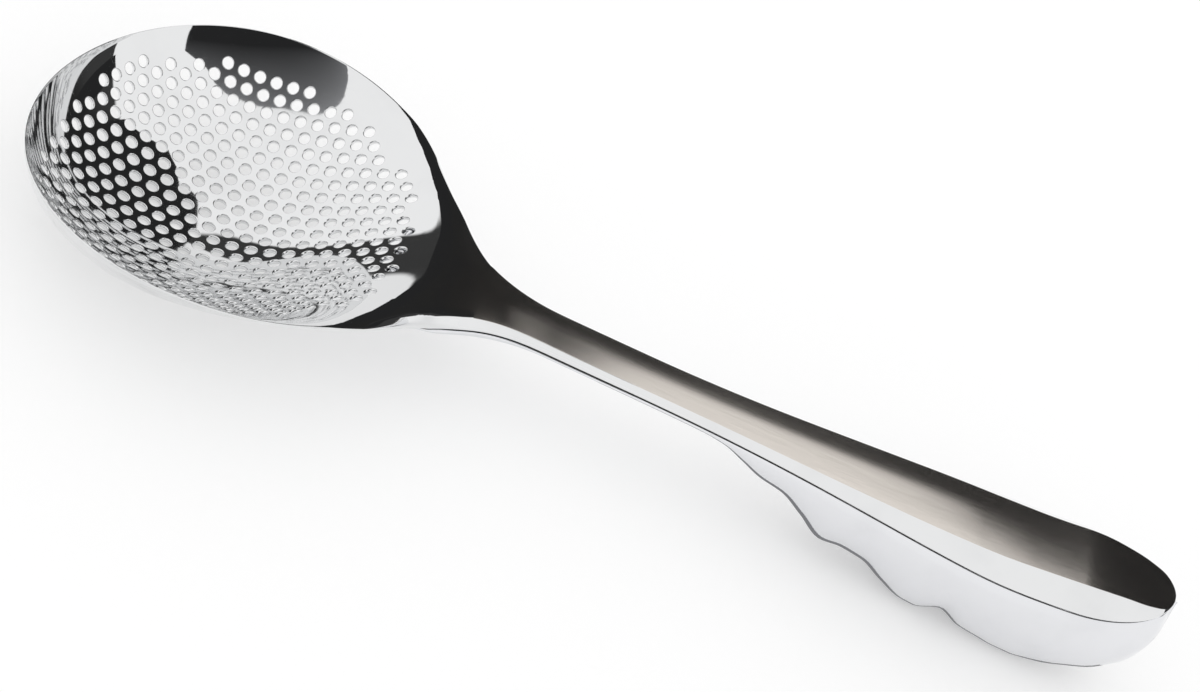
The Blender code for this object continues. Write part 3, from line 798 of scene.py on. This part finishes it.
def side_stations():
    """x of the outline's stations on one side: evenly spaced round the bowl, then down the handle."""
    turn = np.linspace(0.0, 0.5 * math.pi, FINE_STEPS)
    front = BOWL_FRONT * (1.0 - np.cos(turn))
    fine = np.concatenate([front[:-1], np.linspace(BOWL_FRONT, JOIN_AT, FINE_STEPS)])
    line = np.stack([fine, half_width(fine)], axis=1)
    run = np.concatenate([[0.0], np.cumsum(np.linalg.norm(np.diff(line, axis=0), axis=1))])
    bowl = np.interp(np.linspace(0.0, run[-1], int(run[-1] / RIM_STEP) + 1), run, fine)
    handle = stations(JOIN_AT, END_AT)
    end = END_AT + END_LENGTH * np.sin(np.linspace(0.0, END_TURN, END_STEPS + 1))
    return bowl, np.concatenate([handle, end[1:]])


def inset_line(x, inset):
    """Plan points of one side of the outline at x, moved in across its own direction by inset."""
    line = np.stack([x, half_width(x)], axis=1)
    along = unit(np.gradient(line, axis=0))
    along[0] = (0.0, 1.0)
    bowl = line + inset * np.stack([along[:, 1], -along[:, 0]], axis=1)
    shrink = inset * np.minimum(line[:, 1] / (INSET_FADE * LIP), 1.0)
    straight = np.stack([x, line[:, 1] - shrink], axis=1)
    late = ramp((x - JOIN_AT + INSET_RUN) / INSET_RUN)[:, None]
    return bowl + (straight - bowl) * late


def on_top(plan):
    """Points of the top face over plan points."""
    return np.column_stack([plan, top_height(*plan.T)])


def spread(points, least):
    """The points, in order, without those closer than least to one kept before."""
    points = points[np.lexsort((points[:, 1], points[:, 0]))]
    kept = [0]
    for i in range(1, len(points)):
        if np.hypot(*(points[kept[-POINTS_BACK:]] - points[i]).T).min() > least:
            kept.append(i)
    return points[kept]


def plain_sheet(outline, field, side_x):
    """Loose plan points and triangles of the sheet between the outline and the punched field."""
    loose = []
    for inset in RIM_RINGS:
        line = inset_line(side_x, inset)
        loose += [line, line[1:] * MIRROR]
    gx, gy = np.meshgrid(np.arange(PLAIN_FROM, JOIN_AT, PLAIN_STEP),
                         np.arange(-PLAIN_SIDE, PLAIN_SIDE, PLAIN_STEP))
    gx = gx + 0.5 * PLAIN_STEP * (np.round(gy / PLAIN_STEP) % 2)
    grid = np.column_stack([gx.ravel(), gy.ravel()])
    side = inset_line(side_x, LIP)
    grid = grid[far_from(grid, np.concatenate([side, side * MIRROR]), RIM_RINGS[-1])]
    loose = np.concatenate(loose + [grid])
    loose = loose[in_loop(loose, outline) & ~in_loop(loose, field)]
    loose = loose[far_from(loose, outline, CLEAR_OF_CELLS) & far_from(loose, field, CLEAR_OF_CELLS)]
    loose = spread(loose, CLEAR_OF_CELLS)
    flat = np.concatenate([outline, field, loose])
    first, second = len(outline), len(outline) + len(field)
    edges = [(i, (i + 1) % first) for i in range(first)]
    edges += [(i, first + (i + 1 - first) % len(field)) for i in range(first, second)]
    result = delaunay_2d_cdt([Vector(p * PLAN_SCALE) for p in flat], edges, [], 0, PLAN_MATCH)
    triangles = np.array([[result[3][v][0] for v in face] for face in result[2]])
    a, b, c = flat[triangles.T]
    middle = (a + b + c) / 3.0
    along, aside = (b - a).T, (c - a).T
    turned = along[0] * aside[1] < along[1] * aside[0]
    triangles[turned] = triangles[turned][:, ::-1]
    triangles = triangles[in_loop(middle, outline) & ~in_loop(middle, field)]
    return loose, triangles


def brushed_share(x, y):
    """1 on the brushed panel of the neck and handle, 0 in the polished bowl and on the bevels."""
    crease = bevel_at(x)[0] * half_width(x)
    soft = ramp((crease - np.abs(y)) / BRUSH_EDGE)
    panel = np.where(x < JOIN_AT - 0.5 * CREASE, soft, np.abs(y) < crease)
    return panel * ramp_in(x, BRUSH_FROM, BRUSH_RUN)


def across_handle(x, lip):
    """y of one row of points across the handle top, from one lip to the other."""
    crease = min(float(bevel_at(x)[0] * half_width(x)), PANEL_MOST * lip)
    near = min(CREASE, CREASE_MOST * lip)
    bevel = np.linspace(lip, crease + near, BEVEL_COLUMNS)
    panel = (crease - near) * np.linspace(1.0, -1.0, PANEL_COLUMNS + 1)
    return np.concatenate([bevel, panel, -bevel[::-1]])


def build_top(material):
    """Bowl, shoulders, neck and top of the handle: one perforated pressing."""
    # Punched field
    cells, rings, outward, cell_faces = perforated_field(material)
    plan = press(cells[:, :2])
    surface = on_top(plan)
    normal = top_normals(*plan.T)
    thin = sheet_at(*plan.T) / SHEET
    into = unit(on_top(press(cells[:, :2] - outward[:, :2] * 0.5 * HOLE_DIAMETER)) - surface)
    up = np.array([1.0, 1.0, ROLL_UP, -ROLL_UP, -1.0, -1.0])[rings][:, None]
    aside = np.array([0.0, 0.0, ROLL_SIDE, ROLL_SIDE, 0.0, 0.0])[rings][:, None]
    points = [surface + normal * (cells[:, 2] * thin)[:, None]]
    normals = [normal * up + into * aside]
    faces = [list(f) for f in cell_faces]
    upper_field = border_loop(cell_faces, rings, 0)
    spots = [tuple(spot) for spot in np.round(cells[:, :2], SPOT_DIGITS)]
    below = {spots[v]: v for v in border_loop(cell_faces, rings, SLEEVE_BANDS)}
    lower_field = [below[spots[v]] for v in upper_field]

    # Plain sheet of the bowl and shoulders
    bowl_x, handle_x = side_stations()
    edge_x = np.concatenate([bowl_x, handle_x[1:]])
    lip = inset_line(edge_x, LIP)
    bowl_lip, handle_lip = lip[:len(bowl_x)], lip[len(bowl_x):]
    join_y = across_handle(JOIN_AT, bowl_lip[-1, 1])[1:-1]
    join = np.column_stack([np.full(TOP_COLUMNS - 1, JOIN_AT), join_y])
    outline = np.concatenate([bowl_lip, join, (bowl_lip * MIRROR)[:0:-1]])
    field = plan[upper_field]
    loose, triangles = plain_sheet(outline, field, bowl_x)

    # Handle top, row by row
    rows = np.column_stack([np.repeat(handle_lip[:, 0], TOP_COLUMNS + 1),
                            np.concatenate([across_handle(x, y) for x, y in handle_lip])])
    skin_plan = np.concatenate([outline, loose, rows])
    skin = on_top(skin_plan)
    skin_normal = top_normals(*skin_plan.T)
    underneath = skin - skin_normal * sheet_at(*skin_plan.T)[:, None]
    late = (skin_plan[:, 0] > END_AT + OWN_NORMALS_FROM * END_LENGTH)[:, None]
    skin_normal = np.where(late, 0.0, skin_normal)
    count, total = len(cells), len(skin)
    points += [skin, underneath]
    normals += [skin_normal, -skin_normal]
    first = len(outline)
    upper, lower = (
        [*range(start, start + first), *border, *range(start + first, start + total)]
        for start, border in ((count, upper_field), (count + total, lower_field)))
    wide, row_start = TOP_COLUMNS + 1, first + len(field) + len(loose)
    starts = [len(bowl_x) - 1, *range(row_start, row_start + len(rows), wide)]
    joined = [[*range(start, start + wide)] for start in starts]
    panels = [list(t) for t in triangles]
    for near, far in zip(joined, joined[1:]):
        panels += [[near[j], near[j + 1], far[j + 1], far[j]] for j in range(TOP_COLUMNS)]
    panels.append(joined[-1])
    for panel in panels:
        faces += [[upper[v] for v in panel], [lower[v] for v in reversed(panel)]]

    # Rim and skirt: rings from the top face round the edge to the underneath
    edge = [*range(len(bowl_x)), *(row[0] for row in joined[1:])]
    edge += [row[-1] for row in reversed(joined[1:])]
    edge += range(len(bowl_x) + TOP_COLUMNS - 1, first)
    ring_ids = [[upper[v] for v in edge]]
    made = count + 2 * total
    for inset, drop in LIP_RINGS:
        line = inset_line(edge_x, inset)
        height = top_height(*line.T) if drop < 0.5 * SKIRT else edge_height(edge_x)
        ring = np.column_stack([line, height - drop])
        whole = np.concatenate([ring, (ring * np.array([1.0, -1.0, 1.0]))[:0:-1]])
        points.append(whole)
        normals.append(np.zeros_like(whole))
        ring_ids.append(list(range(made, made + len(whole))))
        made += len(whole)
    ring_ids.append([lower[v] for v in edge])
    for one, two in zip(ring_ids, ring_ids[1:]):
        for i in range(len(edge)):
            k = (i + 1) % len(edge)
            faces.append([one[i], one[k], two[k], two[i]])
    points, normals = np.concatenate(points), np.concatenate(normals)
    length = np.linalg.norm(normals, axis=1, keepdims=True)
    normals = np.where(length > KNOWN, normals / np.maximum(length, KNOWN), 0.0)
    brushed = np.zeros(len(points))
    brushed[count:count + total] = brushed_share(*skin_plan.T)
    return finish_piece("spoon_pressing", points, faces, material, normals, brushed)


def build_shell(material):
    """Underside of the handle: a pressed trough with finger grooves and a heel."""
    front = stations(SHELL_FRONT_AT, JOIN_AT)
    handle = stations(JOIN_AT, END_AT)
    share = np.sin(np.linspace(0.0, 0.5 * math.pi, END_STEPS + 1))[1:-1]
    last = (1.0 - np.array(END_CAPS) ** END_FULLNESS) ** (1.0 / END_FULLNESS)
    share = np.concatenate([share[share < last[0] - END_CAP_GAP], last])
    xs = np.concatenate([front, handle[1:], END_AT + END_LENGTH * share])
    width = SHELL_COLUMNS + 1
    turn = np.linspace(0.5 * math.pi, -0.5 * math.pi, width)
    grid_x, grid_turn = np.repeat(xs, width), np.tile(turn, len(xs))
    outside = shell_points(grid_x, grid_turn, 0.0)
    within = shell_points(grid_x, grid_turn, SHEET)
    lips = np.isin(np.arange(len(grid_x)) % width, (0, SHELL_COLUMNS))
    outside[lips, 2] -= EDGE_ROUND
    lip_ring = shell_points(grid_x[lips], grid_turn[lips], EDGE_ROUND)
    points = np.concatenate([outside, within, lip_ring])
    size = len(outside)
    out_id = np.arange(size).reshape(len(xs), width)
    in_id = out_id + size
    lip_id = 2 * size + np.arange(2 * len(xs)).reshape(len(xs), 2)
    faces = []
    for i in range(len(xs) - 1):
        for j in range(SHELL_COLUMNS):
            faces.append([out_id[i, j], out_id[i + 1, j], out_id[i + 1, j + 1], out_id[i, j + 1]])
            faces.append([in_id[i, j], in_id[i, j + 1], in_id[i + 1, j + 1], in_id[i + 1, j]])
        for one, two in ((in_id[:, 0], lip_id[:, 0]), (lip_id[:, 0], out_id[:, 0]),
                         (out_id[:, -1], lip_id[:, 1]), (lip_id[:, 1], in_id[:, -1])):
            faces.append([one[i], one[i + 1], two[i + 1], two[i]])
    for j in range(SHELL_COLUMNS):
        faces.append([out_id[0, j], out_id[0, j + 1], in_id[0, j + 1], in_id[0, j]])
    faces.append([lip_id[0, 0], out_id[0, 0], in_id[0, 0]])
    faces.append([out_id[0, -1], lip_id[0, 1], in_id[0, -1]])
    for ids, flip in ((out_id[-1], False), (in_id[-1], True)):
        for j in range(SHELL_COLUMNS // 2):
            k = SHELL_COLUMNS - j
            face = [ids[j], ids[k], ids[k - 1], ids[j + 1]]
            if j + 1 == k - 1:
                face = face[:3]
            faces.append(face[::-1] if flip else face)
    faces.append([out_id[-1, 0], lip_id[-1, 0], lip_id[-1, 1], out_id[-1, -1]])
    faces.append([lip_id[-1, 0], in_id[-1, 0], in_id[-1, -1], lip_id[-1, 1]])
    piece = finish_piece("grip_shell", points, faces, material)
    bm = bmesh.new()
    bm.from_mesh(piece.data)
    bmesh.ops.recalc_face_normals(bm, faces=bm.faces[:])
    bm.to_mesh(piece.data)
    bm.free()
    return piece


def shader_group(name, size, outputs):
    """Empty shader group: a place and one size in, float values out."""
    group = bpy.data.node_groups.new(name, "ShaderNodeTree")
    new_socket(group, "Vector", "Vector")
    new_socket(group, size, "Float").default_value = 1.0
    for label in outputs:
        new_socket(group, label, "Float", "OUTPUT")
    t = Tree(group)
    return t, t.node("NodeGroupInput").outputs


def brushed_grain_group():
    """Fine streaks along the spoon, left by a brushing belt."""
    t, given = shader_group("brushed_grain", "Fineness", ("Streak",))
    total = None
    for along, across, weight in GRAINS:
        stretch = (along, across, across)
        place = t.out("ShaderNodeMapping", {"Vector": given["Vector"], "Scale": stretch})
        part = t.times(t.noise(place, given["Fineness"], detail=3.0), weight)
        total = part if total is None else t.plus(total, part)
    t.node("NodeGroupOutput", {"Streak": total})
    return t.tree


def handling_marks_group():
    """Faint smudges of the polish, and hairline scratches of use."""
    t, given = shader_group("handling_marks", "Size", ("Smudge", "Scratch"))
    smudge = t.soft_step(t.noise(given["Vector"], SMUDGE_SCALE, detail=4.0), *SMUDGE_RANGE)
    lines = None
    for turn in SCRATCH_TURNS:
        place = t.out("ShaderNodeMapping", {
            "Vector": given["Vector"], "Rotation": (0.0, 0.0, turn), "Scale": SCRATCH_STRETCH})
        noise = t.noise(place, given["Size"], detail=1.0)
        line = t.out("ShaderNodeMapRange", {0: noise, 1: SCRATCH_RANGE[0], 2: SCRATCH_RANGE[1]})
        lines = line if lines is None else t.math("MAXIMUM", lines, line)
    t.node("NodeGroupOutput", {"Smudge": smudge, "Scratch": lines})
    return t.tree


def new_material(name):
    """New material and its node tree."""
    material = bpy.data.materials.new(name)
    material.use_nodes = True
    return material, Tree(material.node_tree)


def steel(name):
    """New metal material: its tree, its shader and its Object coordinates."""
    material, t = new_material(name)
    shader = t.tree.nodes["Principled BSDF"]
    shader.inputs["Metallic"].default_value = 1.0
    return material, t, shader, t.node("ShaderNodeTexCoord").outputs["Object"]


def use_group(t, group, vector, **values):
    """Outputs of a shader group used in a tree."""
    return t.node("ShaderNodeGroup", {"Vector": vector, **values}, node_tree=group).outputs


def spoon_steel(grain, marks):
    """Mirror-polished bowl and bevels, brushed panel on the neck and handle."""
    material, t, shader, place = steel("spoon_steel")
    brushed = t.node("ShaderNodeAttribute", attribute_name="brushed").outputs["Fac"]
    streak = use_group(t, grain, place)["Streak"]
    wear = use_group(t, marks, place)
    polished = t.tint(wear["Smudge"], *BOWL_POLISH)
    satin = t.tint(streak, *SATIN)
    smooth = t.times(wear["Scratch"], BOWL_SCRATCH, t.times(wear["Smudge"], *BOWL_ROUGHNESS))
    t.fill(shader, {
        "Base Color": t.tint(brushed, polished, satin),
        "Roughness": t.blend(brushed, smooth, t.times(streak, *SATIN_ROUGHNESS)),
        "Normal": t.bump(t.times(brushed, BRUSH_RELIEF), BRUSH_DEPTH, streak),
    })
    return material


def grip_steel(grain, marks):
    """Polished underside of the handle, a little softer than the bowl's mirror."""
    material, t, shader, place = steel("grip_steel")
    streak = use_group(t, grain, place, Fineness=GRIP_FINENESS)["Streak"]
    wear = use_group(t, marks, place)
    t.fill(shader, {
        "Base Color": t.tint(wear["Smudge"], *GRIP_POLISH),
        "Roughness": t.times(wear["Scratch"], GRIP_SCRATCH, t.times(streak, *GRIP_ROUGHNESS)),
    })
    return material


def weld_steel(marks):
    """Raw weld with a heat tint, inside the handle."""
    material, t, shader, place = steel("weld_steel")
    ripple = t.noise(place, RIPPLE_SCALE, detail=3.0)
    heat = t.tint(use_group(t, marks, place)["Smudge"], *WELD_TINT)
    t.fill(shader, {
        "Base Color": t.tint(ripple, heat, WELD_RIPPLE),
        "Roughness": t.times(ripple, *WELD_ROUGHNESS),
        "Normal": t.bump(WELD_RELIEF, WELD_DEPTH, ripple),
    })
    return material


grain, marks = brushed_grain_group(), handling_marks_group()
pressing = build_top(spoon_steel(grain, marks))
shell = build_shell(grip_steel(grain, marks))
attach(pressing, "root")
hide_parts("bowl_and_handle_top")
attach(shell, "root")
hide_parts("grip_underside")
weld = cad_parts["seam_weld"]
weld.data.materials.clear()
weld.data.materials.append(weld_steel(marks))


def studio_world():
    """White for the floor's light; in reflections a white tent whose dark back has one bright window."""
    world = bpy.data.worlds.new("studio")
    world.use_nodes = True
    t = Tree(world.node_tree)
    sky = t.tree.nodes["Background"]
    ray = t.node("ShaderNodeLightPath").outputs
    way = t.split(t.node("ShaderNodeTexCoord").outputs["Generated"])
    turn = t.math("DEGREES", t.math("ARCTAN2", way["X"], way["Y"]))
    lift = t.math("DEGREES", t.math("ARCSINE", way["Z"]))

    def between(value, low, high, soft):
        after = t.soft_step(value, low - soft, low + soft)
        past = t.soft_step(value, high - soft, high + soft)
        return t.times(after, t.minus(1.0, past))

    low, high = BACK_LINE[0][0], BACK_LINE[-1][0]
    share = t.over(t.minus(turn, low), high - low)
    line = t.node("ShaderNodeFloatCurve", {"Value": share})
    curve = line.mapping.curves[0]
    spots = [((side - low) / (high - low), (up - CURVE_LOW) / CURVE_SPAN) for side, up in BACK_LINE]
    curve.points[0].location, curve.points[1].location = spots[0], spots[-1]
    for spot in spots[1:-1]:
        curve.points.new(*spot)
    for point in curve.points:
        point.handle_type = "VECTOR"
    line.mapping.update()
    top = t.times(line.outputs[0], CURVE_SPAN, CURVE_LOW)
    dark = t.soft_step(t.minus(top, lift), -BACK_SOFT, BACK_SOFT)
    dark = t.times(dark, between(turn, low, high, BACK_SIDE_SOFT))
    left, right = WINDOW
    bend = t.math("POWER", t.over(lift, WINDOW_TOP), WINDOW_CURVE)
    edge = t.minus(turn, t.times(bend, right - left, left))
    window = t.times(t.soft_step(edge, -WINDOW_SOFT[0], WINDOW_SOFT[0]),
                    t.minus(1.0, t.soft_step(turn, right, right + WINDOW_SOFT[1])))
    dark = t.times(dark, t.times(window, -WINDOW_CLEAR, 1.0))
    black = between(turn, *BLACK_PART, BLACK_SOFT)
    level = t.times(black, BACK_BLACK - BACK_GREY, BACK_GREY)
    sky.inputs["Color"].default_value = WHITE
    t.feed(sky.inputs["Strength"], t.blend(ray["Is Glossy Ray"], 1.0, t.blend(dark, 1.0, level)))
    world.cycles.sampling_method = "NONE"
    return world


def flat_sheet(name, corners, material):
    """Flat sheet of the studio."""
    mesh = bpy.data.meshes.new(name)
    mesh.from_pydata(corners, [], [tuple(range(len(corners)))])
    mesh.materials.append(material)
    return put(name, mesh)


def dark_card(name, corners, fade):
    """Dark card near the spoon, seen only in the steel. Its grey rises with the height over fade."""
    material, t = new_material(name)
    t.tree.nodes.clear()
    height = t.split(t.node("ShaderNodeTexCoord").outputs["Object"])["Z"]
    grey = t.out("ShaderNodeMapRange", {0: height, 1: fade[0], 2: fade[1], 3: BACK_BLACK, 4: CARD_GREY})
    matt = t.out("ShaderNodeEmission", {"Color": CARD_TINT, "Strength": grey})
    t.node("ShaderNodeOutputMaterial", {"Surface": matt})
    card = flat_sheet(name, corners, material)
    card.visible_camera = card.visible_diffuse = card.visible_shadow = card.visible_transmission = False


def white_floor():
    """Plain white floor that keeps the spoon's soft shadow."""
    material, t = new_material("floor_paper")
    t.fill(t.tree.nodes["Principled BSDF"], {
        "Base Color": FLOOR_PAPER, "Roughness": 1.0, "Specular IOR Level": 0.0,
        "Emission Color": WHITE, "Emission Strength": FLOOR_GLOW})
    r = FLOOR_REACH
    floor = flat_sheet("floor", [(-r, -r, 0), (r, -r, 0), (r, r, 0), (-r, r, 0)], material)


scene.world = studio_world()
dark_card("front_card", [(x, FRONT_CARD_AT, z) for x, z in FRONT_CARD], FRONT_FADE)
dark_card("high_card", [(x, y, HIGH_CARD_AT) for x, y in HIGH_CARD], HIGH_FADE)
dark_card("end_card", [(x, y, HIGH_CARD_AT) for x, y in END_CARD], HIGH_FADE)
# Painted shadow under the handle: a dark card the underside reflects in place of the floor's shade
painted_shadow_card = [(x, -y) for x, y in PAINTED_SHADOW_SIDE] + list(reversed(PAINTED_SHADOW_SIDE))
dark_card("painted_shadow_card", [(x, y, PAINTED_SHADOW_AT) for x, y in painted_shadow_card], PAINTED_SHADOW_FADE)
white_floor()

camera = bpy.data.cameras.new("camera")
camera.lens = CAMERA_LENS
camera.sensor_width = CAMERA_SENSOR
view = put("camera", camera)
view.location = CAMERA_AT
view.rotation_euler = [math.radians(turn) for turn in CAMERA_TURN]
scene.camera = view
scene.view_settings.view_transform = "Standard"
